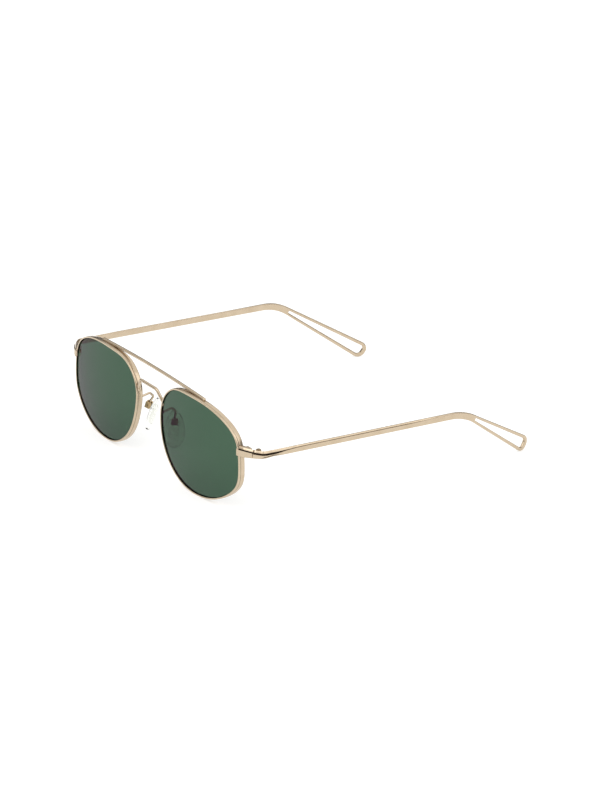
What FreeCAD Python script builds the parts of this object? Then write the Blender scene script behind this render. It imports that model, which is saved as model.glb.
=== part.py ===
import FreeCAD, Part
import math
import os

from FreeCAD import Vector

# Wire-framed aviator sunglasses. Millimetres and degrees.
# X runs across the face with +X at the wearer's left, Y runs back along the temples, Z is up.
# The frame rests on the bottoms of its two rims and on the tips of its two temples, at Z = 0.
# Left-hand pieces are modelled and the right-hand ones are their mirror images.
# Shapes are modelled with Y = 0 at the middle of a lens's front, and are exported with the
# origin in the middle of the whole object's depth.

# Endpieces, hinges and temples share one height at the hinge, and the rims are split there.
HINGE_Z = 27.4

# Lenses and rims. The outline is the opening of the left rim, as (outwards, up) from its middle.
LENS_OUTLINE = [
    (26.8, 0.0),
    (24.4, 10.4),
    (16.0, 16.2),
    (3.5, 19.0),
    (-7.5, 19.2),
    (-17.6, 17.6),
    (-25.1, 10.4),
    (-25.6, 0.0),
    (-20.3, -11.6),
    (-10.4, -18.5),
    (-0.8, -20.1),
    (8.2, -19.1),
    (18.8, -14.7),
    (25.9, -7.4),
]
LENS_BOTTOM = 20.15
LENS_MIDDLE_X = 35.8
LENS_CURVE = 130.0
LENS_WRAP = 3.65
LENS_THICKNESS = 1.9
LENS_BEVEL = 0.7
RIM_WALL = 0.7
RIM_FRONT = -0.6
RIM_BACK = 2.0
RIM_SPLIT = 0.2
RIM_SPLIT_START = Vector(60.0, -5.0, HINGE_Z - RIM_SPLIT / 2)
RIM_SPLIT_SIZE = Vector(10.0, 20.0, RIM_SPLIT)
GROOVE_DEPTH = 0.45
FIT_GAP = 0.02
OUTLINE_SAMPLES = 56
PRISM_REACH = 8.0
LENS_MIDDLE = Vector(LENS_MIDDLE_X, 0.0, LENS_BOTTOM + RIM_WALL)

# Brow bar and bridge.
BROW_HALF_LENGTH = 39.0
BROW_Y = 2.9
BROW_END_Z = 40.95
BROW_RISE = 0.9
BROW_DEPTH = 1.3
BROW_HEIGHT = 1.1
BROW_EDGE = 0.25
BRIDGE_RADIUS = 0.65
BRIDGE_TOP = Vector(6.2, 0.6, 34.85)
BRIDGE_FOOT = Vector(9.9, 1.9, 29.35)
BRIDGE_BEND = 2.2

# Endpieces and hinges.
PIVOT = Vector(68.3, 9.5, HINGE_Z)
GAP_OUTER = Vector(68.5, 6.6, 0.0)
BUTT_GAP = 0.05
ENDPIECE_FRONT = Vector(62.5, 3.4, 0.0)
ENDPIECE_KNEE = Vector(64.8, 4.3, 0.0)
ENDPIECE_KNEE_RADIUS = 6.0
ENDPIECE_RIM_HEIGHT = 3.9
ENDPIECE_HINGE_HEIGHT = 3.3
BAR_THICKNESS = 1.2
TRIM_SIZE = 300.0
TRIM_MARGIN = 3.0
OVERRUN = 0.5

KNUCKLE_RADIUS = 1.1
KNUCKLE_HEIGHT = 0.9
KNUCKLE_GAP = 0.05
KNUCKLE_CLEARANCE = 0.15
TEMPLE_KNUCKLE_RADIUS = 1.0
HINGE_PIN_RADIUS = 0.5
RUNNING_GAP = 0.04
HINGE_PLATE = 0.5
HINGE_PLATE_LENGTH = 5.0
HINGE_PLATE_HEIGHT = 1.8
HINGE_PLATE_START = 0.6
FRONT_PLATE_REACH = 3.4
SCREW_HEAD_RADIUS = 0.9
SCREW_HEAD_HEIGHT = 0.3
DRIVER_SLOT = 0.22

# The temple's outer face in plan, then its side view: a straight bar, a drop behind the ear, and a loop.
TEMPLE_CORNER = Vector(72.1, 9.9, 0.0)
TEMPLE_CORNER_RADIUS = 3.2
TEMPLE_TURN = Vector(71.15, 107.2, 0.0)
TEMPLE_TURN_RADIUS = 40.0
TEMPLE_TIP = Vector(59.75, 142.2, 0.0)
TEMPLE_HEIGHT = 2.6
TEMPLE_RISE = Vector(0.0, 14.0, 27.5)
TEMPLE_RISE_RADIUS = 15.0
TEMPLE_BEND = Vector(0.0, 103.7, 26.1)
TEMPLE_BEND_RADIUS = 22.0
DROP_ANGLE = 33.45
LOOP_END = 44.1
LOOP_FLARE_START = 2.5
LOOP_SLOT_START = 6.7
LOOP_WIDTH_START = 3.4
LOOP_WIDTH_END = 6.9
LOOP_CORNER = 3.0
LOOP_WIRE = 1.35
LOOP_END_WIRE = 1.8
LOOP_NEAR_HALF = 0.5
LOOP_SLOT_ROUNDING = 0.6

# Closing blocks behind the endpiece, one above the rim's split and one below.
LOCK_MIN = Vector(62.9, 5.0, 0.0)
LOCK_SIZE = Vector(2.8, 3.1, 1.35)
LOCK_SCREW_INSET = Vector(0.95, 0.9, 0.0)
LOCK_SCREW_RADIUS = 0.45
LOCK_HEAD_RADIUS = 0.75

# Nose pads: a silicone oval on a stiff core, whose lug rocks in a small clevis box.
PAD_MIDDLE = Vector(9.2, 8.1, 17.85)
PAD_SPLAY = 30.0
PAD_FLARE = 16.0
PAD_LENGTH = 15.0
PAD_WIDTH = 8.0
PAD_THICKNESS = 2.4
PAD_EDGE = 0.9
CORE_LENGTH = 9.0
CORE_WIDTH = 3.8
CORE_THICKNESS = 0.8
LUG_WIDTH = 1.1
LUG_HEIGHT = 1.7
BOX_ABOVE_MIDDLE = 3.0
BOX_STANDOFF = 2.7
BOX_WIDTH = 2.5
BOX_HEIGHT = 2.6
BOX_DEPTH = 2.2
BOX_SLOT = 1.2
BOX_FLOOR = 0.15
PAD_SCREW_RADIUS = 0.4
PAD_HEAD_RADIUS = 0.6
PAD_HEAD_HEIGHT = 0.25
ARM_RADIUS = 0.45
ARM_IN_BOX = 0.2
ARM_ROUTE = [
    Vector(9.5, 2.0, 25.85),
    Vector(9.4, 6.8, 26.95),
    Vector(9.3, 8.5, 25.25),
]
ARM_BENDS = [0.9, 0.9]

# The origin's place in the object's depth, halfway between the front of the bridge and the loop tips.
DEPTH_MIDDLE = 70.0

X_AXIS = Vector(1, 0, 0)
Y_AXIS = Vector(0, 1, 0)
Z_AXIS = Vector(0, 0, 1)


def rounded_run(corners, radii):
    """Edges of straight runs through the corners, with an arc at each inner corner."""
    edges = []
    start = corners[0]
    for before, corner, after, radius in zip(corners, corners[1:], corners[2:], radii):
        back = (before - corner).normalize()
        ahead = (after - corner).normalize()
        half_angle = back.getAngle(ahead) / 2
        reach = radius / math.tan(half_angle)
        first = corner + back * reach
        last = corner + ahead * reach
        middle = corner + (back + ahead).normalize() * (radius / math.sin(half_angle) - radius)
        edges.append(Part.makeLine(start, first))
        edges.append(Part.Arc(first, middle, last).toShape())
        start = last
    edges.append(Part.makeLine(start, corners[-1]))
    return edges


def closed_face(edges):
    return Part.Face(Part.Wire(Part.__sortEdges__(edges)))


def polygon_face(points):
    return Part.Face(Part.makePolygon(list(points) + [points[0]]))


def meet(point, direction, other_point, other_direction):
    """Where two lines in one plane cross."""
    normal = direction.cross(other_direction)
    along = (other_point - point).cross(other_direction).dot(normal) / normal.dot(normal)
    return point + direction * along


def offset_corners(corners, distance, normal):
    """The corners of the path that runs beside the given one, on the side of normal x direction."""
    sides = []
    for start, end in zip(corners, corners[1:]):
        direction = (end - start).normalize()
        sides.append((start + normal.cross(direction) * distance, direction))
    moved = [sides[0][0]]
    for (point, direction), (next_point, next_direction) in zip(sides, sides[1:]):
        moved.append(meet(point, direction, next_point, next_direction))
    last_direction = sides[-1][1]
    moved.append(corners[-1] + normal.cross(last_direction) * distance)
    return moved


def wire_rod(corners, radii, radius):
    """A round wire along rounded runs."""
    path = Part.Wire(rounded_run(corners, radii))
    direction = corners[1] - corners[0]
    section = Part.Wire(Part.makeCircle(radius, corners[0], direction))
    return path.makePipeShell([section], True, False)


def mirrored(shape):
    return shape.mirror(Vector(0, 0, 0), X_AXIS)


def vertical_cylinder(centre, radius, bottom, top):
    return Part.makeCylinder(radius, top - bottom, Vector(centre.x, centre.y, bottom), Z_AXIS)


# Rims and lenses


def outline_face(offset):
    """The lens outline, moved outwards by the offset, in the plane Y = 0."""
    base = Part.BSplineCurve()
    base.interpolate([Vector(across, 0, up) for across, up in LENS_OUTLINE], PeriodicFlag=True)
    span = base.LastParameter - base.FirstParameter
    points = []
    for sample in range(OUTLINE_SAMPLES):
        parameter = base.FirstParameter + span * sample / OUTLINE_SAMPLES
        outwards = Y_AXIS.cross(base.tangent(parameter)[0])
        points.append(base.value(parameter) + outwards * offset)
    curve = Part.BSplineCurve()
    curve.interpolate(points, PeriodicFlag=True)
    return Part.Face(Part.Wire(curve.toShape()))


def curved_plate(offset, front, back):
    """A plate with the lens outline, between two spheres that follow the lens's curve."""
    prism = outline_face(offset)
    prism.translate(Vector(0, -PRISM_REACH, 0))
    prism = prism.extrude(Vector(0, 3 * PRISM_REACH, 0))
    centre = Vector(0, LENS_CURVE, 0)
    outer = Part.makeSphere(LENS_CURVE - front, centre)
    inner = Part.makeSphere(LENS_CURVE - back, centre)
    return prism.common(outer).cut(inner)


def set_in_front(shape):
    """Turns a lens-shaped piece by the face wrap and puts it in its place."""
    shape.rotate(Vector(0, 0, 0), Z_AXIS, LENS_WRAP)
    shape.translate(LENS_MIDDLE)
    return shape


def make_lens():
    body = curved_plate(-FIT_GAP, 0.0, LENS_THICKNESS)
    bevel_front = (LENS_THICKNESS - LENS_BEVEL) / 2
    bevel = curved_plate(GROOVE_DEPTH - FIT_GAP, bevel_front, bevel_front + LENS_BEVEL)
    return set_in_front(body.fuse(bevel).removeSplitter())


def make_rim():
    opening = curved_plate(0.0, RIM_FRONT - RIM_WALL, RIM_BACK + RIM_WALL)
    ring = curved_plate(RIM_WALL, RIM_FRONT, RIM_BACK).cut(opening)
    groove_front = (LENS_THICKNESS - LENS_BEVEL) / 2 - FIT_GAP
    groove_back = (LENS_THICKNESS + LENS_BEVEL) / 2 + FIT_GAP
    ring = ring.cut(curved_plate(GROOVE_DEPTH, groove_front, groove_back))
    ring = set_in_front(ring)
    split = Part.makeBox(RIM_SPLIT_SIZE.x, RIM_SPLIT_SIZE.y, RIM_SPLIT_SIZE.z, RIM_SPLIT_START)
    return ring.cut(split)


def make_rim_envelope():
    """The rim and everything inside it, as one plate, to trim what is brazed to it."""
    return set_in_front(curved_plate(RIM_WALL, RIM_FRONT, RIM_BACK))


# Brow bar and bridge


def make_brow_bar(envelopes):
    edges = []
    for level in (-1, 1):
        lift = level * BROW_HEIGHT / 2
        left_end = Vector(-BROW_HALF_LENGTH, 0, BROW_END_Z + lift)
        middle = Vector(0, 0, BROW_END_Z + BROW_RISE + lift)
        right_end = Vector(BROW_HALF_LENGTH, 0, BROW_END_Z + lift)
        edges.append(Part.Arc(left_end, middle, right_end).toShape())
    for side in (-1, 1):
        end = Vector(side * BROW_HALF_LENGTH, 0, BROW_END_Z)
        edges.append(Part.makeLine(end - Z_AXIS * BROW_HEIGHT / 2, end + Z_AXIS * BROW_HEIGHT / 2))
    bar = closed_face(edges).extrude(Vector(0, BROW_DEPTH, 0))
    bar.translate(Vector(0, BROW_Y - BROW_DEPTH / 2, 0))
    long_edges = [edge for edge in bar.Edges if edge.Length > BROW_HALF_LENGTH]
    bar = bar.makeFillet(BROW_EDGE, long_edges)
    for envelope in envelopes:
        bar = bar.cut(envelope)
    return bar


def make_bridge(envelopes):
    corners = []
    for side, place in [(-1, BRIDGE_FOOT), (-1, BRIDGE_TOP), (1, BRIDGE_TOP), (1, BRIDGE_FOOT)]:
        corners.append(Vector(side * place.x, place.y, place.z))
    bridge = wire_rod(corners, [BRIDGE_BEND, BRIDGE_BEND], BRIDGE_RADIUS)
    for envelope in envelopes:
        bridge = bridge.cut(envelope)
    return largest_solid(bridge)


# Endpiece and closing blocks


def butt_direction():
    """From the outer face at the butt joint towards the hinge axis, so that the faces meet flat."""
    return Vector(PIVOT.x - GAP_OUTER.x, PIVOT.y - GAP_OUTER.y, 0).normalize()


def half_space(side):
    """A big block on one side of the butt joint: side -1 holds the endpiece, +1 the temple."""
    inwards = butt_direction()
    across = inwards.cross(Z_AXIS)
    start = GAP_OUTER + across * (side * BUTT_GAP / 2) - inwards * TRIM_SIZE
    corners = [start, start + across * (side * TRIM_SIZE)]
    corners += [corners[1] + inwards * (2 * TRIM_SIZE), corners[0] + inwards * (2 * TRIM_SIZE)]
    block = polygon_face(corners).extrude(Vector(0, 0, 4 * HINGE_Z))
    block.translate(Vector(0, 0, -2 * HINGE_Z))
    return block


def ribbon(outer_corners, radii, thickness):
    """A flat bar in plan: its outer face through the corners, its inner face a thickness inside."""
    inner_corners = offset_corners(outer_corners, thickness, Z_AXIS)
    inner_radii = []
    for before, corner, after, radius in zip(outer_corners, outer_corners[1:], outer_corners[2:], radii):
        turn = (corner - before).cross(after - corner).z
        inner_radii.append(radius - math.copysign(thickness, turn))
    edges = rounded_run(outer_corners, radii)
    edges += rounded_run(inner_corners, inner_radii)
    edges.append(Part.makeLine(outer_corners[0], inner_corners[0]))
    edges.append(Part.makeLine(outer_corners[-1], inner_corners[-1]))
    return closed_face(edges)


def largest_solid(shape):
    return max(shape.Solids, key=lambda solid: solid.Volume)


def past_joint(before, joint):
    """A point beyond the butt joint on a bar's outer face, so that the bar can be trimmed at the joint."""
    return joint + (joint - before) * OVERRUN


def make_endpiece(envelope):
    plan = ribbon([ENDPIECE_FRONT, ENDPIECE_KNEE, past_joint(ENDPIECE_KNEE, GAP_OUTER)],
                  [ENDPIECE_KNEE_RADIUS], BAR_THICKNESS)
    rim_half = ENDPIECE_RIM_HEIGHT / 2
    hinge_half = ENDPIECE_HINGE_HEIGHT / 2
    start_x = ENDPIECE_FRONT.x - TRIM_MARGIN
    end_x = GAP_OUTER.x + TRIM_MARGIN
    front_view = polygon_face([
        Vector(start_x, 0, HINGE_Z - rim_half),
        Vector(ENDPIECE_KNEE.x, 0, HINGE_Z - rim_half),
        Vector(GAP_OUTER.x, 0, HINGE_Z - hinge_half),
        Vector(end_x, 0, HINGE_Z - hinge_half),
        Vector(end_x, 0, HINGE_Z + hinge_half),
        Vector(GAP_OUTER.x, 0, HINGE_Z + hinge_half),
        Vector(ENDPIECE_KNEE.x, 0, HINGE_Z + rim_half),
        Vector(start_x, 0, HINGE_Z + rim_half),
    ]).extrude(Vector(0, PIVOT.y + TRIM_MARGIN, 0))
    lug = plan.extrude(Vector(0, 0, 2 * HINGE_Z)).common(front_view).common(half_space(-1))
    return largest_solid(lug.cut(envelope))


def make_lock_block(level, envelope, endpiece):
    """One closing block: level +1 is above the rim's split and -1 below."""
    bottom = HINGE_Z + RIM_SPLIT / 2
    if level < 0:
        bottom = HINGE_Z - RIM_SPLIT / 2 - LOCK_SIZE.z
    block = Part.makeBox(LOCK_SIZE.x, LOCK_SIZE.y, LOCK_SIZE.z, Vector(LOCK_MIN.x, LOCK_MIN.y, bottom))
    return largest_solid(block.cut(envelope).cut(endpiece))


def lock_screw_place():
    far_corner = Vector(LOCK_MIN.x + LOCK_SIZE.x, LOCK_MIN.y + LOCK_SIZE.y, 0)
    return far_corner - LOCK_SCREW_INSET


def make_screw(place, radius, end, seat, head_radius):
    """A vertical screw with a slotted head on the seat level, up if the end is below it and else down."""
    outwards = math.copysign(1, seat - end)
    head_top = seat + outwards * SCREW_HEAD_HEIGHT
    shank = vertical_cylinder(place, radius, min(end, seat), max(end, seat))
    head = vertical_cylinder(place, head_radius, min(seat, head_top), max(seat, head_top))
    slot_middle = Vector(place.x, place.y, head_top)
    slot_size = Vector(3 * head_radius, DRIVER_SLOT, SCREW_HEAD_HEIGHT)
    slot = Part.makeBox(slot_size.x, slot_size.y, slot_size.z, slot_middle - slot_size * 0.5)
    return shank.fuse(head).cut(slot)


# Hinge


def knuckle_levels():
    """Bottom and top of the lower, middle and upper knuckles."""
    levels = []
    for step in (-1, 0, 1):
        middle = HINGE_Z + step * (KNUCKLE_HEIGHT + KNUCKLE_GAP)
        levels.append((middle - KNUCKLE_HEIGHT / 2, middle + KNUCKLE_HEIGHT / 2))
    return levels


def make_hinge_front(endpiece):
    """Two knuckles on a small plate that is brazed inside the endpiece."""
    lower, middle, upper = knuckle_levels()
    run = [ENDPIECE_KNEE, past_joint(ENDPIECE_KNEE, GAP_OUTER)]
    inner = offset_corners(run, BAR_THICKNESS, Z_AXIS)
    plate = ribbon(inner, [], HINGE_PLATE).extrude(Vector(0, 0, upper[1] - lower[0]))
    plate.translate(Vector(0, 0, lower[0]))
    plate = plate.common(half_space(-1))
    near = vertical_cylinder(PIVOT, FRONT_PLATE_REACH, lower[0], upper[1])
    plate = plate.common(near)
    plate = plate.cut(vertical_cylinder(PIVOT, KNUCKLE_RADIUS + KNUCKLE_GAP, middle[0] - KNUCKLE_GAP,
                                        middle[1] + KNUCKLE_GAP))
    half = plate
    for bottom, top in (lower, upper):
        half = half.fuse(vertical_cylinder(PIVOT, KNUCKLE_RADIUS, bottom, top))
    half = half.cut(endpiece)
    half = half.cut(vertical_cylinder(PIVOT, HINGE_PIN_RADIUS + RUNNING_GAP, upper[0], upper[1]))
    half = half.cut(vertical_cylinder(PIVOT, HINGE_PIN_RADIUS, lower[0], lower[1]))
    return largest_solid(half)


def make_hinge_temple(temple):
    """The middle knuckle on its web, and the plate that is brazed inside the temple."""
    middle = knuckle_levels()[1]
    inner_x = TEMPLE_CORNER.x - BAR_THICKNESS
    plate_bottom = HINGE_Z - HINGE_PLATE_HEIGHT / 2
    plate_corner = Vector(inner_x - HINGE_PLATE, PIVOT.y + HINGE_PLATE_START, plate_bottom)
    plate = Part.makeBox(BAR_THICKNESS, HINGE_PLATE_LENGTH, HINGE_PLATE_HEIGHT, plate_corner)
    web = Part.makeBox(inner_x - PIVOT.x + HINGE_PLATE, 2 * TEMPLE_KNUCKLE_RADIUS, KNUCKLE_HEIGHT,
                       Vector(PIVOT.x, PIVOT.y - TEMPLE_KNUCKLE_RADIUS, middle[0]))
    half = plate.fuse(web).fuse(vertical_cylinder(PIVOT, TEMPLE_KNUCKLE_RADIUS, middle[0], middle[1]))
    half = half.cut(temple)
    half = half.cut(vertical_cylinder(PIVOT, HINGE_PIN_RADIUS + RUNNING_GAP, middle[0], middle[1]))
    return largest_solid(half)


def make_hinge_screw():
    levels = knuckle_levels()
    bottom = levels[0][0] + FIT_GAP
    top = levels[2][1]
    return make_screw(PIVOT, HINGE_PIN_RADIUS, bottom, top, SCREW_HEAD_RADIUS)


# Temple


def loop_point(along, aside):
    """A point of the side view behind the bend, along the drop and square to it."""
    angle = math.radians(DROP_ANGLE)
    direction = Vector(0, math.cos(angle), -math.sin(angle))
    upwards = Vector(0, math.sin(angle), math.cos(angle))
    return TEMPLE_BEND + direction * along + upwards * aside


def temple_side_view():
    """The bar, the bend and the outside of the loop, as seen from the side."""
    half = TEMPLE_HEIGHT / 2
    start = Vector(0, GAP_OUTER.y, HINGE_Z)
    slope = (TEMPLE_BEND - TEMPLE_RISE).normalize()
    bar_up = X_AXIS.cross(slope) * half
    rows = []
    for side in (1, -1):
        drop_start = loop_point(LOOP_FLARE_START, side * half)
        drop_end = loop_point(LOOP_END, side * LOOP_WIDTH_END / 2)
        rise = TEMPLE_RISE + bar_up * side
        knee = meet(rise, slope, drop_start, (drop_end - drop_start).normalize())
        butt = start + Z_AXIS * (side * ENDPIECE_HINGE_HEIGHT / 2)
        rows.append([butt, rise, knee, drop_end])
    top, bottom = rows
    run = top + bottom[::-1]
    radii = [TEMPLE_RISE_RADIUS + half, TEMPLE_BEND_RADIUS + half, LOOP_CORNER]
    radii += [LOOP_CORNER, TEMPLE_BEND_RADIUS - half, TEMPLE_RISE_RADIUS - half]
    edges = rounded_run(run, radii)
    edges.append(Part.makeLine(run[-1], run[0]))
    return closed_face(edges)


def loop_slot():
    """The opening inside the loop, seen from the side."""
    grow = (LOOP_WIDTH_END - LOOP_WIDTH_START) / 2 / (LOOP_END - LOOP_SLOT_START)
    near = LOOP_NEAR_HALF
    far_along = LOOP_END - LOOP_END_WIRE
    far = LOOP_WIDTH_START / 2 - LOOP_WIRE + grow * (far_along - LOOP_SLOT_START)
    start = loop_point(LOOP_SLOT_START, 0)
    run = [
        start,
        loop_point(LOOP_SLOT_START, near),
        loop_point(far_along, far),
        loop_point(far_along, -far),
        loop_point(LOOP_SLOT_START, -near),
        start,
    ]
    inner_corner = LOOP_CORNER - LOOP_END_WIRE
    near_corner = near * LOOP_SLOT_ROUNDING
    return closed_face(rounded_run(run, [near_corner, inner_corner, inner_corner, near_corner]))


def make_temple():
    width = TEMPLE_CORNER.x - TEMPLE_TIP.x + 4 * TRIM_MARGIN
    start_x = TEMPLE_CORNER.x + TRIM_MARGIN - width
    side_view = temple_side_view()
    side_view.translate(Vector(start_x, 0, 0))
    slot = loop_slot()
    slot.translate(Vector(start_x, 0, 0))
    solid = side_view.extrude(Vector(width, 0, 0)).cut(slot.extrude(Vector(width, 0, 0)))
    plan = ribbon([past_joint(TEMPLE_CORNER, GAP_OUTER), TEMPLE_CORNER, TEMPLE_TURN, TEMPLE_TIP],
                  [TEMPLE_CORNER_RADIUS, TEMPLE_TURN_RADIUS], BAR_THICKNESS)
    prism = plan.extrude(Vector(0, 0, 2 * HINGE_Z))
    prism.translate(Vector(0, 0, -HINGE_Z / 2))
    temple = prism.common(solid).common(half_space(1))
    return temple.cut(vertical_cylinder(PIVOT, KNUCKLE_RADIUS + KNUCKLE_CLEARANCE, 0, 2 * HINGE_Z))


# Nose pads


def pad_axes():
    """Unit vectors of the left pad: across its width (to the rear), up its length, and to the nose."""
    splay = math.radians(PAD_SPLAY)
    flare = math.radians(PAD_FLARE)
    width = Vector(math.sin(splay), math.cos(splay), 0)
    flat_face = Vector(-math.cos(splay), math.sin(splay), 0)
    face = flat_face * math.cos(flare) - Z_AXIS * math.sin(flare)
    length = flat_face * math.sin(flare) + Z_AXIS * math.cos(flare)
    return width, length, face


def pad_matrix(origin):
    """Places a piece modelled with X across the pad to the front, Y up it and Z towards the nose."""
    width, length, face = pad_axes()
    matrix = FreeCAD.Matrix()
    matrix.A11, matrix.A21, matrix.A31 = width * -1
    matrix.A12, matrix.A22, matrix.A32 = length
    matrix.A13, matrix.A23, matrix.A33 = face
    matrix.A14, matrix.A24, matrix.A34 = origin
    return FreeCAD.Placement(matrix)


def box_middle():
    length, face = pad_axes()[1:]
    return PAD_MIDDLE + length * BOX_ABOVE_MIDDLE - face * BOX_STANDOFF


def oval_plate(length, width, thickness):
    oval = Part.Ellipse(Vector(0, 0, 0), length / 2, width / 2)
    edge = oval.toShape()
    edge.rotate(Vector(0, 0, 0), Z_AXIS, 90)
    plate = Part.Face(Part.Wire(edge)).extrude(Vector(0, 0, thickness))
    plate.translate(Vector(0, 0, -thickness / 2))
    return plate


def make_pad_core():
    """The stiff plate inside the silicone and the lug that reaches into the box."""
    plate = oval_plate(CORE_LENGTH, CORE_WIDTH, CORE_THICKNESS)
    lug = Part.makeBox(LUG_WIDTH, LUG_HEIGHT, BOX_STANDOFF,
                       Vector(-LUG_WIDTH / 2, BOX_ABOVE_MIDDLE - LUG_HEIGHT / 2, -BOX_STANDOFF))
    tip = Part.makeCylinder(LUG_HEIGHT / 2, LUG_WIDTH,
                            Vector(-LUG_WIDTH / 2, BOX_ABOVE_MIDDLE, -BOX_STANDOFF), X_AXIS)
    hole = Part.makeCylinder(PAD_SCREW_RADIUS + RUNNING_GAP, LUG_WIDTH,
                             Vector(-LUG_WIDTH / 2, BOX_ABOVE_MIDDLE, -BOX_STANDOFF), X_AXIS)
    core = plate.fuse(lug).fuse(tip).cut(hole)
    core.Placement = pad_matrix(PAD_MIDDLE)
    return core


def make_nose_pad(core):
    pad = oval_plate(PAD_LENGTH, PAD_WIDTH, PAD_THICKNESS)
    pad = pad.makeFillet(PAD_EDGE, pad.Edges)
    pad.Placement = pad_matrix(PAD_MIDDLE)
    return pad.cut(core)


def make_pad_box():
    size = Vector(BOX_WIDTH, BOX_HEIGHT, BOX_DEPTH)
    box = Part.makeBox(size.x, size.y, size.z, Vector(-size.x / 2, -size.y / 2, -size.z / 2))
    slot = Part.makeBox(BOX_SLOT, 2 * size.y, size.z, Vector(-BOX_SLOT / 2, -size.y, BOX_FLOOR - size.z / 2))
    bore = Part.makeCylinder(PAD_SCREW_RADIUS, size.x, Vector(-size.x / 2, 0, 0), X_AXIS)
    clevis = box.cut(slot).cut(bore)
    clevis.Placement = pad_matrix(box_middle())
    return clevis


def make_pad_screw():
    shank = Part.makeCylinder(PAD_SCREW_RADIUS, BOX_WIDTH, Vector(-BOX_WIDTH / 2, 0, 0), X_AXIS)
    head = Part.makeCylinder(PAD_HEAD_RADIUS, PAD_HEAD_HEIGHT, Vector(-BOX_WIDTH / 2, 0, 0), X_AXIS * -1)
    slot_length = 3 * PAD_HEAD_RADIUS
    slot_start = -BOX_WIDTH / 2 - PAD_HEAD_HEIGHT * 1.5
    slot = Part.makeBox(PAD_HEAD_HEIGHT, DRIVER_SLOT, slot_length,
                        Vector(slot_start, -DRIVER_SLOT / 2, -slot_length / 2))
    screw = shank.fuse(head).cut(slot)
    screw.Placement = pad_matrix(box_middle())
    return screw


def make_pad_arm(envelope, box):
    """The wire from the back of the rim, up and over, and down into the top of the box."""
    length = pad_axes()[1]
    box_top = box_middle() + length * (BOX_HEIGHT / 2 - ARM_IN_BOX)
    corners = ARM_ROUTE + [box_top]
    arm = wire_rod(corners, ARM_BENDS, ARM_RADIUS).cut(envelope).cut(box)
    return largest_solid(arm)


# Assembly


def left_pieces(envelope):
    """Every left-hand piece by name, without its side."""
    endpiece = make_endpiece(envelope)
    temple = make_temple()
    core = make_pad_core()
    box = make_pad_box()
    upper_block = make_lock_block(1, envelope, endpiece)
    lower_block = make_lock_block(-1, envelope, endpiece)
    place = lock_screw_place()
    lock_top = HINGE_Z + RIM_SPLIT / 2 + LOCK_SIZE.z
    lock_bottom = HINGE_Z - RIM_SPLIT / 2 - LOCK_SIZE.z
    screw_hole = vertical_cylinder(place, LOCK_SCREW_RADIUS, lock_bottom, lock_top)
    return {
        "rim": make_rim(),
        "lens": make_lens(),
        "endpiece": endpiece,
        "rim_lock_upper": upper_block.cut(screw_hole),
        "rim_lock_lower": lower_block.cut(screw_hole),
        "rim_screw": make_screw(place, LOCK_SCREW_RADIUS, lock_top, lock_bottom, LOCK_HEAD_RADIUS),
        "hinge_front": make_hinge_front(endpiece),
        "hinge_temple": make_hinge_temple(temple),
        "hinge_screw": make_hinge_screw(),
        "temple": temple,
        "pad_arm": make_pad_arm(envelope, box),
        "pad_box": box,
        "pad_screw": make_pad_screw(),
        "pad_core": core,
        "nose_pad": make_nose_pad(core),
    }


def export(name, shape):
    placed = shape.copy()
    placed.translate(Vector(0, -DEPTH_MIDDLE, 0))
    placed.exportStep("parts/" + name + ".step")


def main():
    os.makedirs("parts", exist_ok=True)
    envelope = make_rim_envelope()
    envelopes = [envelope, mirrored(envelope)]
    for name, shape in left_pieces(envelope).items():
        export(name + "_left", shape)
        export(name + "_right", mirrored(shape))
    export("brow_bar", make_brow_bar(envelopes))
    export("bridge", make_bridge(envelopes))


main()
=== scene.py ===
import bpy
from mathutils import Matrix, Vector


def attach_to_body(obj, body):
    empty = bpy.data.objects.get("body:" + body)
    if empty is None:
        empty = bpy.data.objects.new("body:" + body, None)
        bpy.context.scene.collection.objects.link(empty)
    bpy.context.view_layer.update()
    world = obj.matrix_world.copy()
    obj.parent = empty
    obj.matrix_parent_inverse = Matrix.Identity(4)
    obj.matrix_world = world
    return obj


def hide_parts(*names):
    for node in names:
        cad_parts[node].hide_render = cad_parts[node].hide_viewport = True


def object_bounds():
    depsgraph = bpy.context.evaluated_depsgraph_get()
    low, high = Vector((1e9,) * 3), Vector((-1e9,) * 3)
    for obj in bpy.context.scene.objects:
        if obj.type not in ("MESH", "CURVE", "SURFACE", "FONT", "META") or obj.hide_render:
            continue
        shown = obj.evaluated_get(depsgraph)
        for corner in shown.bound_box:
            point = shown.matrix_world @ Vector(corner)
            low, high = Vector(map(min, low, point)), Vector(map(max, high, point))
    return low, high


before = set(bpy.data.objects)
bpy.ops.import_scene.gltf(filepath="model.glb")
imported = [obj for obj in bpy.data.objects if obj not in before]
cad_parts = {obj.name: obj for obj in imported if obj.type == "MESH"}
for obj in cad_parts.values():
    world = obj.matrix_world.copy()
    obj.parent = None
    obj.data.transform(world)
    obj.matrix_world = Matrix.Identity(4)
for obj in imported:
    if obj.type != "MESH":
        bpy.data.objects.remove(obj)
cad_box = [list(corner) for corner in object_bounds()]

import math

import bmesh
import bpy
import numpy as np
from mathutils import Matrix, Vector
from mathutils.geometry import delaunay_2d_cdt

# Lengths below are in millimetres until a mesh is made. X runs across the face with +X at the
# wearer's left, Y runs back along the temples, Z is up. Left-hand shapes are made, and the
# right-hand ones are mirrored. Y = 0 is the front of a lens's middle until DEPTH_MIDDLE is taken off.
MM = 0.001
DEPTH_MIDDLE = 70.0
SIDES = {"left": 1.0, "right": -1.0}

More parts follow.
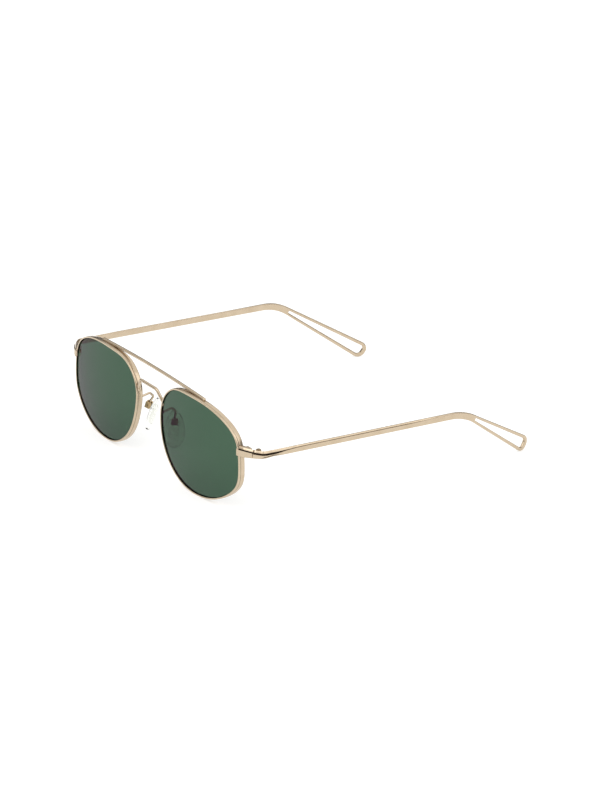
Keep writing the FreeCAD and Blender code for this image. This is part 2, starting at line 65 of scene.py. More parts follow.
# Lens and rim. The outline is (across, up) from the lens's middle; depths run back from its front.
LENS_OUTLINE = [
    (26.8, 0.0), (24.4, 10.4), (16.0, 16.2), (3.5, 19.0), (-7.5, 19.2), (-17.6, 17.6), (-25.1, 10.4),
    (-25.6, 0.0), (-20.3, -11.6), (-10.4, -18.5), (-0.8, -20.1), (8.2, -19.1), (18.8, -14.7), (25.9, -7.4),
]
LENS_MIDDLE = (35.8, 0.0, 20.85)
LENS_CURVE = 130.0
LENS_WRAP = math.radians(3.65)
LENS_THICKNESS = 1.9
LENS_GAP = 0.03
LENS_BEVEL = 0.18
RIM_WALL = 0.7
RIM_FRONT = -0.6
RIM_BACK = 2.0
RIM_GROOVE = 0.12
RIM_GROOVE_HALF = 0.15
RIM_GROOVE_DEPTH = 0.19
RIM_CROWN = 0.09
RIM_CORNERS = [0.16, 0.24, 0.03, 0.02, 0.03, 0.28, 0.2]
# How dark the painted shade is in the rim's groove and on its inner wall by the lens.
RIM_PAINTED_SHADE = 0.85
RIM_SPLIT = 0.2

# Brow bar and bridge.
BROW_HALF_LENGTH = 39.0
BROW_Y = 2.9
BROW_END_Z = 40.95
BROW_RISE = 0.9
BROW_DEPTH = 1.3
BROW_HEIGHT = 1.1
BROW_CORNER = 0.42
BROW_END_ROUND = 0.6
BRIDGE_RADIUS = 0.65
BRIDGE_RUN = [(9.9, 1.9, 29.35), (6.2, 0.6, 34.85), (-6.2, 0.6, 34.85), (-9.9, 1.9, 29.35)]
BRIDGE_BEND = 2.2

# Endpiece, hinge and temple. A run is a bar's outer face seen from above, and a place is a length
# along it. GAP_OUTER is where the two bars' outer faces meet.
HINGE_Z = 27.4
PIVOT = (68.3, 9.5)
GAP_OUTER = (68.5, 6.6)
ENDPIECE_RUN = [(61.8, 3.12), (64.8, 4.3), GAP_OUTER]
ENDPIECE_KNEE_RADIUS = 6.0
ENDPIECE_RIM_HEIGHT = 3.9
ENDPIECE_HINGE_HEIGHT = 3.3
BUTT_CLEARANCE = 0.1
SEAT_START = 1.3
SEAT_END = 1.7
SEAT_DEPTH = (1.0, 2.7)
SEAT_HEIGHT = 1.5
SEAT_DROP = 0.06
SEAT_CORNERS = [0.05, 0.2, 0.22, 0.05]
SEAT_END_SCALE = 0.8
JOINT_CORNER = 0.06
ENDPIECE_CORNERS = [0.55, 3.0, JOINT_CORNER, JOINT_CORNER, 3.0, 1.35]
SHEAR_LENGTH = 2.5
END_ROUND = 0.1
BAR_THICKNESS = 1.2
TEMPLE_RUN = [GAP_OUTER, (72.1, 9.9), (71.15, 107.2), (59.75, 142.2)]
TEMPLE_RADII = [3.2, 40.0]
TEMPLE_HEIGHT = 2.6
TEMPLE_RISE = (14.0, 27.5)
TEMPLE_BEND = (103.7, 26.1)
RISE_RADIUS = 15.0
BEND_RADIUS = 22.0
DROP_ANGLE = math.radians(33.45)
LOOP_FLARE_START = 2.5
LOOP_SLOT_START = 6.7
LOOP_END = 44.07
LOOP_WIDTH_START = 3.4
LOOP_WIDTH_END = 6.9
LOOP_NEAR_HALF = 0.5
LOOP_CORNER = 3.0
LOOP_WIRE = 1.35
LOOP_END_WIRE = 1.8
EDGE_ROUND = 0.3
BAR_SHARP = 28.0
BEVEL = 1.15
ENDPIECE_WIDENING = 0.15

# How the temple's edges change along it: places from the butt face where each change starts and ends.
BEVEL_NARROWS = (11.0, 24.0)
BEVEL_NARROWING = 0.36
BEVEL_FADES = (70.0, 98.0)
GROOVE_NARROWS = (9.0, 17.0)
GROOVE_WIDER = 0.42
# Where the painted shade in the top groove fades further back, and by how much.
GROOVE_SHADE_FADES = (9.0, 22.0)
GROOVE_SHADE_FADING = 0.65
LOWER_GROOVE_STARTS = (3.2, 5.0)
LOWER_GROOVE_ENDS = (9.0, 14.0)
LOWER_GROOVE_SIZE = 0.35
LOWER_GROOVE_WIDER = 0.2
BUTT_SHEAR_ENDS = (0.3, 3.4)
BUTT_THINNING = 0.12
BUTT_THINNING_ENDS = (3.2, 4.8)

# Nose pads and solder.
PAD_MIDDLE = (9.2, 8.1, 17.85)
PAD_SPLAY = math.radians(30.0)
PAD_FLARE = math.radians(16.0)
PAD_HALF_LENGTH = 7.5
PAD_HALF_WIDTH = 4.0
PAD_THICKNESS = 2.4
PAD_CROWN = 0.62
PAD_BACK = 0.92
PAD_WAIST = 0.97
PAD_TAPER = 0.16
PAD_POINT = 0.05
PAD_SMALLEST_RING = 1.48
ARM_START = (9.5, 2.4, 25.94)
ARM_SOLDER = (0.7, 0.75, 0.7)
BRIDGE_START = (9.75, 2.0, 29.6)
BRIDGE_SOLDER = (0.85, 1.0, 1.6)


def smooth_step(low, high, value):
    """0 below low, 1 above high and a smooth curve between them."""
    share = np.clip((np.asarray(value, float) - low) / (high - low), 0.0, 1.0)
    return share * share * (3.0 - 2.0 * share)


# Meshes


def make_object(name, points, faces, material, side=1.0, sharp=35.0, painted_shade=None):
    """A mesh from design points, mirrored for the right side, with its normals turned outwards.

    Edges that turn by more than sharp, in degrees, stay crisp. The last argument gives each point a
    painted shade
    from 0 to 1: how far its colour is darkened to stand in for shade and dark reflections.
    """
    mesh = bpy.data.meshes.new(name)
    rows = [(x * side * MM, (y - DEPTH_MIDDLE) * MM, z * MM) for x, y, z in points]
    mesh.from_pydata(rows, [], faces)
    work = bmesh.new()
    work.from_mesh(mesh)
    bmesh.ops.recalc_face_normals(work, faces=work.faces)
    work.to_mesh(mesh)
    work.free()
    if painted_shade is not None:
        # Painted shade: each point's share of dark brown, stored on the mesh for the gold material.
        mesh.attributes.new("painted_shade", "FLOAT", "POINT").data.foreach_set("value", painted_shade)
    mesh.shade_smooth()
    mesh.set_sharp_from_angle(angle=math.radians(sharp))
    mesh.materials.append(material)
    piece = bpy.data.objects.new(name, mesh)
    bpy.context.scene.collection.objects.link(piece)
    return piece


def even_out(piece):
    """Lets the large faces lead the shading, so that flat faces look flat beside their rounded edges."""
    evening = piece.modifiers.new("evening", "WEIGHTED_NORMAL")
    evening.weight = 100
    evening.keep_sharp = True


def attach(piece, body, slot, *nodes):
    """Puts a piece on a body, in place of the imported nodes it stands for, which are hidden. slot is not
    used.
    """
    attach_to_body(piece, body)
    if nodes:
        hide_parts(*nodes)


def loft(rings):
    """Points and faces of a skin through equal rings, with flat ends."""
    count = len(rings[0])
    last_ring = (len(rings) - 1) * count
    points = [tuple(point) for ring in rings for point in ring]
    faces = []
    for here in range(0, last_ring, count):
        ahead = here + count
        for step in range(count):
            following = (step + 1) % count
            faces.append((here + step, here + following, ahead + following, ahead + step))
    faces.append(tuple(range(count)))
    faces.append(tuple(range(last_ring, last_ring + count)))
    return points, faces


def rounded_path(corners, radii, step, closed=False):
    """Points along straight runs with arcs at the corners, in two or three dimensions."""
    corners = [np.array(corner, float) for corner in corners]
    count = len(corners)
    turns = range(count) if closed else range(1, count - 1)
    pieces = [] if closed else [[corners[0]]]
    for turn in turns:
        corner = corners[turn]
        back = corners[turn - 1] - corner
        ahead = corners[(turn + 1) % count] - corner
        back /= np.linalg.norm(back)
        ahead /= np.linalg.norm(ahead)
        radius = radii[turn] if closed else radii[turn - 1]
        half_angle = math.acos(np.clip(back @ ahead, -1, 1)) / 2
        reach = radius / math.tan(half_angle)
        middle = back + ahead
        middle /= np.linalg.norm(middle)
        centre = corner + middle * radius / math.sin(half_angle)
        first = corner + back * reach - centre
        swing = math.pi - 2 * half_angle
        side = corner + ahead * reach - centre
        side = side - first * (side @ first) / (radius * radius)
        side /= np.linalg.norm(side)
        parts = max(2, int(math.ceil(swing / 0.16)), int(math.ceil(radius * swing / step)))
        arc = []
        for part in range(parts + 1):
            angle = swing * part / parts
            arc.append(centre + first * math.cos(angle) + side * radius * math.sin(angle))
        pieces.append(arc)
    if not closed:
        pieces.append([corners[-1]])
    points = []
    links = zip(pieces, pieces[1:] + pieces[:1]) if closed else zip(pieces, pieces[1:])
    for here, following in links:
        points.extend(here)
        length = np.linalg.norm(following[0] - here[-1])
        parts = int(length / step)
        for part in range(1, parts + 1):
            points.append(here[-1] + (following[0] - here[-1]) * part / (parts + 1))
    if not closed:
        points.extend(pieces[-1])
    return np.array(points)


def tube(path, radius, around):
    """A round wire along a path, with domed ends."""
    path = np.array(path)
    along = np.gradient(path, axis=0)
    along /= np.linalg.norm(along, axis=1)[:, None]
    across = np.cross(along[0], (0.3, 0.2, 0.93))
    dome = (1.4, 1.1, 0.8, 0.5, 0.25, 0.0)
    rings = []
    for index, point in enumerate(path):
        across = across - along[index] * (across @ along[index])
        across /= np.linalg.norm(across)
        other = np.cross(along[index], across)
        places = [(0.0, 1.0)]
        if index == 0:
            places = [(-math.sin(a), math.cos(a)) for a in dome]
        if index == len(path) - 1:
            places = [(math.sin(a), math.cos(a)) for a in reversed(dome)]
        for shift, scale in places:
            ring = []
            for step in range(around):
                angle = 2 * math.pi * step / around
                spoke = across * math.cos(angle) + other * math.sin(angle)
                ring.append(point + along[index] * shift * radius + spoke * radius * scale)
            rings.append(ring)
    return loft(rings)


# Lenses and rims


def spline_loop(knots, per_span=40):
    """A smooth closed curve through the knots, as many short steps."""
    knots = np.array(knots, float)
    count = len(knots)
    spans = np.linalg.norm(np.roll(knots, -1, axis=0) - knots, axis=1)
    system = np.zeros((count, count))
    target = np.zeros((count, 2))
    for i in range(count):
        before, after = (i - 1) % count, (i + 1) % count
        system[i, before] = spans[before]
        system[i, i] = 2 * (spans[before] + spans[i])
        system[i, after] = spans[i]
        target[i] = 6 * ((knots[after] - knots[i]) / spans[i] - (knots[i] - knots[before]) / spans[before])
    bends = np.linalg.solve(system, target)
    points = []
    for i in range(count):
        after = (i + 1) % count
        for part in range(per_span):
            b = part / per_span
            a = 1 - b
            value = a * knots[i] + b * knots[after]
            value = value + ((a ** 3 - a) * bends[i] + (b ** 3 - b) * bends[after]) * spans[i] ** 2 / 6
            points.append(value)
    return np.array(points)


def resample(points, count, closed, trim=0.0):
    """Equal steps along a path, leaving out a trim at both ends of an open one."""
    if closed:
        points = np.vstack([points, points[:1]])
    lengths = np.linalg.norm(np.diff(points, axis=0), axis=1)
    places = np.concatenate([[0.0], np.cumsum(lengths)])
    wanted = np.linspace(trim, places[-1] - trim, count, endpoint=not closed)
    return np.stack([np.interp(wanted, places, points[:, axis]) for axis in range(2)], axis=1)


def outward_normals(points, closed):
    """Unit normals to the right of a path that runs anticlockwise."""
    if closed:
        along = np.roll(points, -1, axis=0) - np.roll(points, 1, axis=0)
    else:
        along = np.gradient(points, axis=0)
    along /= np.linalg.norm(along, axis=1)[:, None]
    return np.stack([along[:, 1], -along[:, 0]], axis=1)


def lens_point(across, up, depth):
    """A place on a sphere a depth behind the lens's front, turned by the face wrap."""
    back = LENS_CURVE - math.sqrt((LENS_CURVE - depth) ** 2 - across * across - up * up)
    x = across * math.cos(LENS_WRAP) - back * math.sin(LENS_WRAP)
    y = across * math.sin(LENS_WRAP) + back * math.cos(LENS_WRAP)
    return (LENS_MIDDLE[0] + x, LENS_MIDDLE[1] + y, LENS_MIDDLE[2] + up)


OUTLINE = spline_loop(LENS_OUTLINE)


def rim_profile():
    """The wire's section as (outwards from the opening, depth, painted shade), with a fine groove outside.
    """
    groove = [(RIM_WALL, RIM_GROOVE - RIM_GROOVE_HALF), (RIM_WALL - RIM_GROOVE_DEPTH, RIM_GROOVE),
              (RIM_WALL, RIM_GROOVE + RIM_GROOVE_HALF)]
    section = [(0.0, RIM_FRONT), (RIM_WALL, RIM_FRONT)] + groove + [(RIM_WALL, RIM_BACK), (0.0, RIM_BACK)]
    ring = rounded_path(section, RIM_CORNERS, 0.35, closed=True)
    middle = (RIM_FRONT + RIM_BACK) / 2
    half = (RIM_BACK - RIM_FRONT) / 2
    result = []
    for outwards, depth in ring:
        share = (depth - middle) / half
        if outwards > RIM_WALL * 0.8:
            outwards -= RIM_CROWN * share * share
        # Painted shade on the groove's floor and on the inner wall by the lens, where the metal shows
        # shade.
        in_groove = abs(depth - RIM_GROOVE) < 0.05 and RIM_WALL / 2 < outwards < RIM_WALL - 0.08
        by_lens = outwards < 0.02 and depth > -0.25
        result.append((outwards, depth, RIM_PAINTED_SHADE if in_groove or by_lens else 0.0))
    return result


def make_rim(side_name, side, metal):
    """The wire round a lens, open at its split by the hinge."""
    split_up = HINGE_Z - LENS_MIDDLE[2]
    far_off = np.where(OUTLINE[:, 0] > 0, np.abs(OUTLINE[:, 1] - split_up), 99.0)
    start = int(np.argmin(far_off))
    open_run = np.vstack([np.roll(OUTLINE, -start, axis=0), OUTLINE[start]])
    path = resample(open_run, 260, False, RIM_SPLIT / 2)
    normals = outward_normals(path, False)
    profile = rim_profile()
    rings = []
    for (across, up), (normal_across, normal_up) in zip(path, normals):
        rings.append([lens_point(across + normal_across * out, up + normal_up * out, depth)
                      for out, depth, _ in profile])
    points, faces = loft(rings)
    # The painted shade of each point, taken from the section.
    painted_shade = [dark for _, _, dark in profile] * len(rings)
    piece = make_object("rim_wire_" + side_name, points, faces, metal, side, painted_shade=painted_shade)
    attach(piece, "front", "gold_metal", "rim_" + side_name)


def make_lens(side_name, side, glass):
    """A curved disc: rings from the middle out, a small edge bevel, and the same on the back."""
    count = 144
    edge = resample(OUTLINE, count, True)
    normals = outward_normals(edge, True)
    outer = edge - normals * LENS_GAP
    face_edge = edge - normals * (LENS_GAP + LENS_BEVEL)
    shares = np.linspace(0.06, 1.0, 22)
    rings = []
    for share in shares:
        rings.append([lens_point(across * share, up * share, 0.0) for across, up in face_edge])
    rings.append([lens_point(across, up, LENS_BEVEL) for across, up in outer])
    rings.append([lens_point(across, up, LENS_THICKNESS - LENS_BEVEL) for across, up in outer])
    for share in shares[::-1]:
        rings.append([lens_point(across * share, up * share, LENS_THICKNESS) for across, up in face_edge])
    points, faces = loft(rings)
    piece = make_object("lens_glass_" + side_name, points, faces, glass, side, sharp=30.0)
    attach(piece, "front", "tinted_lens", "lens_" + side_name)


# Brow bar and bridge


def make_brow_bar(metal):
    """A flat wire with round edges, arched a little and domed at its ends."""
    half_depth = BROW_DEPTH / 2
    half_height = BROW_HEIGHT / 2
    corners = [(-half_depth, -half_height), (half_depth, -half_height),
               (half_depth, half_height), (-half_depth, half_height)]
    section = rounded_path(corners, [BROW_CORNER] * 4, 0.2, closed=True)
    straight = BROW_HALF_LENGTH - BROW_END_ROUND
    end = [(-straight - BROW_END_ROUND * math.cos(a), math.sin(a)) for a in (0.15, 0.5, 0.85, 1.2)]
    places = end + [(x, 1.0) for x in np.linspace(-straight, straight, 81)]
    places += [(-x, scale) for x, scale in end[::-1]]
    rings = []
    for x, scale in places:
        z = BROW_END_Z + BROW_RISE * (1 - (x / BROW_HALF_LENGTH) ** 2)
        rings.append([(x, BROW_Y + a * scale, z + b * scale) for a, b in section])
    points, faces = loft(rings)
    attach(make_object("brow_bar_wire", points, faces, metal), "front", "gold_metal", "brow_bar")


def make_bridge(metal):
    """A round wire with two bends between the rims."""
    path = rounded_path(BRIDGE_RUN, [BRIDGE_BEND] * 2, 0.5)
    points, faces = tube(path, BRIDGE_RADIUS, 32)
    attach(make_object("bridge_wire", points, faces, metal), "front", "gold_metal", "bridge")


def make_solder(name, centre, size, side, metal):
    """A small smooth fillet of solder round a joint."""
    rings = []
    for angle in np.linspace(-1.45, 1.45, 11):
        ring = []
        for step in range(24):
            turn = 2 * math.pi * step / 24
            ring.append((centre[0] + size[0] * math.cos(angle) * math.cos(turn),
                         centre[1] + size[1] * math.cos(angle) * math.sin(turn),
                         centre[2] + size[2] * math.sin(angle)))
        rings.append(ring)
    points, faces = loft(rings)
    attach(make_object(name, points, faces, metal, side), "front", "gold_metal")


# Flat bars that follow a plan: endpieces and temples


class Plan:
    """The outer face of a bar seen from above, by the length along it."""

    def __init__(self, corners, radii):
        path = rounded_path(corners, radii, 0.4)
        lengths = np.linalg.norm(np.diff(path, axis=0), axis=1)
        self.places = np.concatenate([[0.0], np.cumsum(lengths)])
        self.path = path
        along = np.gradient(path, self.places, axis=0)
        along /= np.linalg.norm(along, axis=1)[:, None]
        self.inwards = np.stack([-along[:, 1], along[:, 0]], axis=1)

    def at(self, place, depth):
        """The point at a place along the face and a depth inside it."""
        result = []
        for axis in range(2):
            base = np.interp(place, self.places, self.path[:, axis])
            result.append(base + depth * np.interp(place, self.places, self.inwards[:, axis]))
        return result

    def place_of_y(self, y):
        """The place along the face where it reaches a depth y."""
        return np.interp(y, self.path[:, 1], self.places)


def inside(polygon, point):
    """Whether a line to one side of the point crosses the polygon an odd number of times."""
    result = False
    last = polygon[-1]
    for here in polygon:
        if (here[1] > point[1]) != (last[1] > point[1]):
            crossing = (last[0] - here[0]) * (point[1] - here[1]) / (last[1] - here[1]) + here[0]
            if point[0] < crossing:
                result = not result
        last = here
    return result


# A triangle thinner than this share of its length is a numerical leftover on a straight edge.
SLIVER = 1e-4


def fill(outline, hole):
    """Triangles between an outline and an optional hole, by their indices in the two put together."""
    points = [Vector(point) for point in outline]
    edges = [(i, (i + 1) % len(outline)) for i in range(len(outline))]
    if hole is not None:
        start = len(points)
        points += [Vector(point) for point in hole]
        edges += [(start + i, start + (i + 1) % len(hole)) for i in range(len(hole))]
    places, _, triangles, origins, _, _ = delaunay_2d_cdt(points, edges, [], 0, 1e-7)
    back = [origin[0] for origin in origins]
    result = []
    for triangle in triangles:
        first, second, third = (places[i] for i in triangle)
        middle = (first + second + third) / 3
        area = abs((second - first).cross(third - first)) / 2
        longest = max((second - first).length, (third - second).length, (first - third).length)
        if area < SLIVER * longest * longest:
            continue
        if inside(outline, middle) and (hole is None or not inside(hole, middle)):
            result.append(tuple(back[i] for i in triangle))
    return result


# From a face over its edge, as shares (inset, depth) of the edge's size: a flat-bottomed groove and then
# a bevel. The lists after it say how much painted shade each step gets, full on the groove's floor, and
# how far it moves where the groove is wider.
GROOVED_BEVEL = [(1.0, 0.0), (0.88, 0.40), (0.74, 0.33), (0.70, 0.345), (0.06, 0.70), (0.0, 0.76)]
GROOVE_PAINTED_SHADE = [0.0, 1.0, 1.0, 0.0, 0.0, 0.0]
GROOVE_WIDENING = [1.0, 1.0, 0.0, 0.0, 0.0, 0.0]


def edge_layers(size, crisp, widening):
    """Steps (inset, depth) over an edge: round where crisp is 0 and a grooved bevel where it is 1."""
    layers = []
    for step, (crisp_inset, crisp_depth) in enumerate(GROOVED_BEVEL):
        angle = math.pi / 2 * step / (len(GROOVED_BEVEL) - 1)
        inset = size * ((1 - math.sin(angle)) * (1 - crisp) + crisp_inset * crisp)
        inset = inset + widening * GROOVE_WIDENING[step]
        depth = size * ((1 - math.cos(angle)) * (1 - crisp) + crisp_depth * crisp)
        layers.append((inset, depth))
    return layers


def edge_steps(contour, normals, joint, edge_rule):
    """For each layer over a contour's edges, outer face first: its insets, depths and painted shade.

    At the butt face the normals are turned upright, so that the layers there slide along the joint.
    """
    sizes, crisps, painted_shade_strength, widening = edge_rule(contour, normals)
    at_joint = np.abs(contour[:, 0] - joint) < JOINT_CORNER * 1.5
    share = (contour[:, 1] - HINGE_Z) / (ENDPIECE_HINGE_HEIGHT / 2)
    normals[at_joint, 0] = 0.0
    normals[at_joint, 1] = share[at_joint]
    sizes = np.where(at_joint, np.where(share > 0, BEVEL, EDGE_ROUND), sizes)
    crisps = np.where(at_joint, np.where(share > 0, 1.0, 0.0), crisps)
    none = np.zeros_like(sizes)
    steps = []
    for (inset, depth), groove in zip(edge_layers(sizes, crisps, widening), GROOVE_PAINTED_SHADE):
        # The groove's painted shade, where its edge is a crisp bevel.
        steps.append((inset, depth, groove * crisps * painted_shade_strength))
    for inset, depth in reversed(edge_layers(np.minimum(sizes, EDGE_ROUND), none, none)):
        steps.append((inset, BAR_THICKNESS - depth, none))
    return steps


def wall_faces(counts, layer_count):
    """The four-sided faces between layers, each layer holding one loop of points for each count."""
    total = sum(counts)
    faces = []
    start = 0
    for count in counts:
        for layer in range(layer_count - 1):
            for i in range(count):
                here = layer * total + start + i
                following = layer * total + start + (i + 1) % count
                faces.append((here, following, following + total, here + total))
        start += count
    return faces


def bar_mesh(plan, outline, hole, joint, edge_rule, shear, thickness_rule):
    """A bar with its side view's outline and hole, wrapped on the plan, with shaped outer edges.

    joint is the place of the butt face. For the points of a contour, edge_rule gives the edge's size,
    how crisp it is, how much painted shade its groove gets and how much wider. shear leans the butt face,
    and thickness_rule scales the bar's thickness; both take places along the plan.
    """
    contours = [(outline, 1.0)]
    if hole is not None:
        contours.append((hole, -1.0))
    layer_count = 2 * len(GROOVED_BEVEL)
    layer_points = [[] for _ in range(layer_count)]
    layer_flat = [[] for _ in range(layer_count)]
    layer_painted_shade = [[] for _ in range(layer_count)]
    for contour, sign in contours:
        normals = outward_normals(contour, True) * sign
        for layer, (inset, depth, painted_shade) in enumerate(edge_steps(contour, normals, joint, edge_rule)):
            flat = contour - normals * inset[:, None]
            depth = depth * thickness_rule(flat[:, 0])
            x, y = plan.at(flat[:, 0] + shear(flat[:, 0]) * depth, depth)
            layer_points[layer].extend(zip(x, y, flat[:, 1]))
            layer_flat[layer].extend(flat.tolist())
            # Painted shade for the points of this layer.
            layer_painted_shade[layer].extend(painted_shade.tolist())
    split = len(outline)
    total = len(layer_flat[0])
    faces = wall_faces([len(contour) for contour, _ in contours], layer_count)
    for layer in (0, layer_count - 1):
        flat = layer_flat[layer]
        triangles = fill(flat[:split], flat[split:] if hole is not None else None)
        faces += [tuple(layer * total + i for i in triangle) for triangle in triangles]
    return sum(layer_points, []), faces, sum(layer_painted_shade, [])


def butt_shear(run):
    """How far the butt joint's face, which points at the hinge pin, moves along for each unit of depth."""
    face = np.array(PIVOT) - np.array(GAP_OUTER)
    along = np.array(run[1], float) - np.array(run[0], float)
    along /= np.linalg.norm(along)
    inwards = np.array((-along[1], along[0]))
    return (face @ along) / (face @ inwards)


def faces_up(normals):
    """0 where an edge's normal is level or points down, and 1 where it points well up."""
    return smooth_step(0.2, 0.85, normals[:, 1])


def make_endpiece(side_name, side, metal):
    """The lug from the rim to the hinge, which narrows to the temple's height at the butt face."""
    plan = Plan(ENDPIECE_RUN, [ENDPIECE_KNEE_RADIUS])
    end = plan.places[-1] - BUTT_CLEARANCE
    knee = float(plan.place_of_y(ENDPIECE_RUN[1][1]))
    rim_half = ENDPIECE_RIM_HEIGHT / 2
    hinge_half = ENDPIECE_HINGE_HEIGHT / 2
    corners = [(0, HINGE_Z - rim_half), (knee, HINGE_Z - rim_half), (end, HINGE_Z - hinge_half),
               (end, HINGE_Z + hinge_half), (knee, HINGE_Z + rim_half), (0, HINGE_Z + rim_half)]
    outline = rounded_path(corners, ENDPIECE_CORNERS, 0.3, closed=True)
    slope = butt_shear(ENDPIECE_RUN[1:])

    def shear(place):
        return slope * smooth_step(end - SHEAR_LENGTH, end, place)

    def edge_rule(_, normals):
        top = faces_up(normals)
        size = EDGE_ROUND + (BEVEL - EDGE_ROUND) * top
        size = size + END_ROUND * smooth_step(0.3, 0.8, -normals[:, 0])
        # Painted shade at full strength in the groove under the top bevel.
        return size, top, np.ones_like(top), ENDPIECE_WIDENING * top

    points, faces, painted_shade = bar_mesh(plan, outline, None, end, edge_rule, shear, np.ones_like)
    piece = make_object("endpiece_lug_" + side_name, points, faces, metal, side, BAR_SHARP, painted_shade)
    even_out(piece)
    attach(piece, "front", "gold_metal", "endpiece_" + side_name)


def make_hinge_seat(side_name, side, metal):
    """A flat step along the lug's inner side, level with its top, which carries the hinge."""
    plan = Plan(ENDPIECE_RUN, [ENDPIECE_KNEE_RADIUS])
    knee = float(plan.place_of_y(ENDPIECE_RUN[1][1]))
    heights = (ENDPIECE_RIM_HEIGHT / 2, ENDPIECE_HINGE_HEIGHT / 2)
    near, deep = SEAT_DEPTH
    section = [(near, -SEAT_HEIGHT), (deep, -SEAT_HEIGHT), (deep, 0.0), (near, 0.0)]
    ring = rounded_path(section, SEAT_CORNERS, 0.3, closed=True)
    middle = ring.mean(axis=0)
    places = np.linspace(SEAT_START, plan.places[-1] - SEAT_END, 24)
    rings = []
    for place in places:
        at_end = place in (places[0], places[-1])
        shape = middle + (ring - middle) * (SEAT_END_SCALE if at_end else 1.0)
        top = HINGE_Z + np.interp(place, (knee, plan.places[-1]), heights) - SEAT_DROP
        x, y = plan.at(np.full(len(shape), place), shape[:, 0])
        rings.append(list(zip(x, y, top + shape[:, 1])))
    points, faces = loft(rings)
    piece = make_object("hinge_seat_" + side_name, points, faces, metal, side)
    even_out(piece)
    attach(piece, "front", "gold_metal")


def loop_place(along, aside):
    """A point of the temple's side view behind the bend, as (y, z)."""
    y = TEMPLE_BEND[0] + along * math.cos(DROP_ANGLE) + aside * math.sin(DROP_ANGLE)
    z = TEMPLE_BEND[1] - along * math.sin(DROP_ANGLE) + aside * math.cos(DROP_ANGLE)
    return np.array((y, z))


def crossing(point, towards, other_point, other_towards):
    """Where the line through two points meets the line through two others."""
    step = np.array(towards) - np.array(point)
    other_step = np.array(other_towards) - np.array(other_point)
    gap = np.array(other_point) - np.array(point)
    area = step[0] * other_step[1] - step[1] * other_step[0]
    share = (gap[0] * other_step[1] - gap[1] * other_step[0]) / area
    return np.array(point) + step * share


def temple_outline():
    """The temple's side view: a bar that drops behind the ear and flares into the loop."""
    half = TEMPLE_HEIGHT / 2
    butt_half = ENDPIECE_HINGE_HEIGHT / 2
    rise, bend = np.array(TEMPLE_RISE), np.array(TEMPLE_BEND)
    slope = (bend - rise) / np.linalg.norm(bend - rise)
    bar_up = np.array((-slope[1], slope[0])) * half
    start_y = GAP_OUTER[1] + BUTT_CLEARANCE
    rows = []
    for side in (-1, 1):
        drop_start = loop_place(LOOP_FLARE_START, side * half)
        drop_end = loop_place(LOOP_END, side * LOOP_WIDTH_END / 2)
        rise_corner = rise + bar_up * side
        knee = crossing(rise_corner, rise_corner + slope, drop_start, drop_end)
        rows.append([(start_y, HINGE_Z + side * butt_half), rise_corner, knee, drop_end])
    bottom, top = rows
    corners = bottom + top[::-1]
    radii = [JOINT_CORNER, RISE_RADIUS, BEND_RADIUS - half, LOOP_CORNER, LOOP_CORNER, BEND_RADIUS + half,
             RISE_RADIUS, JOINT_CORNER]
    return rounded_path(corners, radii, 0.7, closed=True)


def temple_slot():
    """The opening of the loop, which flares as its outside does."""
    grow = (LOOP_WIDTH_END - LOOP_WIDTH_START) / 2 / (LOOP_END - LOOP_SLOT_START)
    near = LOOP_NEAR_HALF
    far_along = LOOP_END - LOOP_END_WIRE
    far = LOOP_WIDTH_START / 2 - LOOP_WIRE + grow * (far_along - LOOP_SLOT_START)
    corners = [loop_place(LOOP_SLOT_START, -near), loop_place(far_along, -far),
               loop_place(far_along, far), loop_place(LOOP_SLOT_START, near)]
    inner = LOOP_CORNER - LOOP_END_WIRE
    return rounded_path(corners, [near * 0.6, inner, inner, near * 0.6], 0.7, closed=True)


def make_temple(side_name, side, metal):
    """The flat bar and its loop, with a groove under the bevel of its top edge."""
    plan = Plan(TEMPLE_RUN, TEMPLE_RADII)
    outline = temple_outline()
    slot = temple_slot()
    for contour in (outline, slot):
        contour[:, 0] = plan.place_of_y(contour[:, 0])
    slope = butt_shear(TEMPLE_RUN)

    def shear(place):
        return slope * (1 - smooth_step(*BUTT_SHEAR_ENDS, place))

    def thickness_rule(place):
        return 1 - BUTT_THINNING * (1 - smooth_step(*BUTT_THINNING_ENDS, place))

    def edge_rule(contour, normals):
        place = contour[:, 0]
        upper = faces_up(normals) * (1 - smooth_step(*BEVEL_FADES, place))
        lower = faces_up(-normals) * smooth_step(*LOWER_GROOVE_STARTS, place)
        lower = lower * (1 - smooth_step(*LOWER_GROOVE_ENDS, place))
        bevel = BEVEL * (1 - BEVEL_NARROWING * smooth_step(*BEVEL_NARROWS, place))
        size = EDGE_ROUND + (bevel - EDGE_ROUND) * upper + LOWER_GROOVE_SIZE * lower
        # Painted shade in the groove: full by the hinge, fading further back.
        painted_shade_strength = 1 - GROOVE_SHADE_FADING * smooth_step(*GROOVE_SHADE_FADES, place)
        widening = GROOVE_WIDER * upper * (1 - smooth_step(*GROOVE_NARROWS, place))
        widening = widening + LOWER_GROOVE_WIDER * lower
        return size, np.clip(upper + lower, 0, 1), painted_shade_strength, widening

    joint = outline[:, 0].min()
    points, faces, painted_shade = bar_mesh(plan, outline, slot, joint, edge_rule, shear, thickness_rule)
    piece = make_object("temple_bar_" + side_name, points, faces, metal, side, BAR_SHARP, painted_shade)
    even_out(piece)
    attach(piece, "temple_" + side_name, "gold_metal", "temple_" + side_name)


# Small hardware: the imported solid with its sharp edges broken

HARDWARE_SHARP = math.radians(40.0)


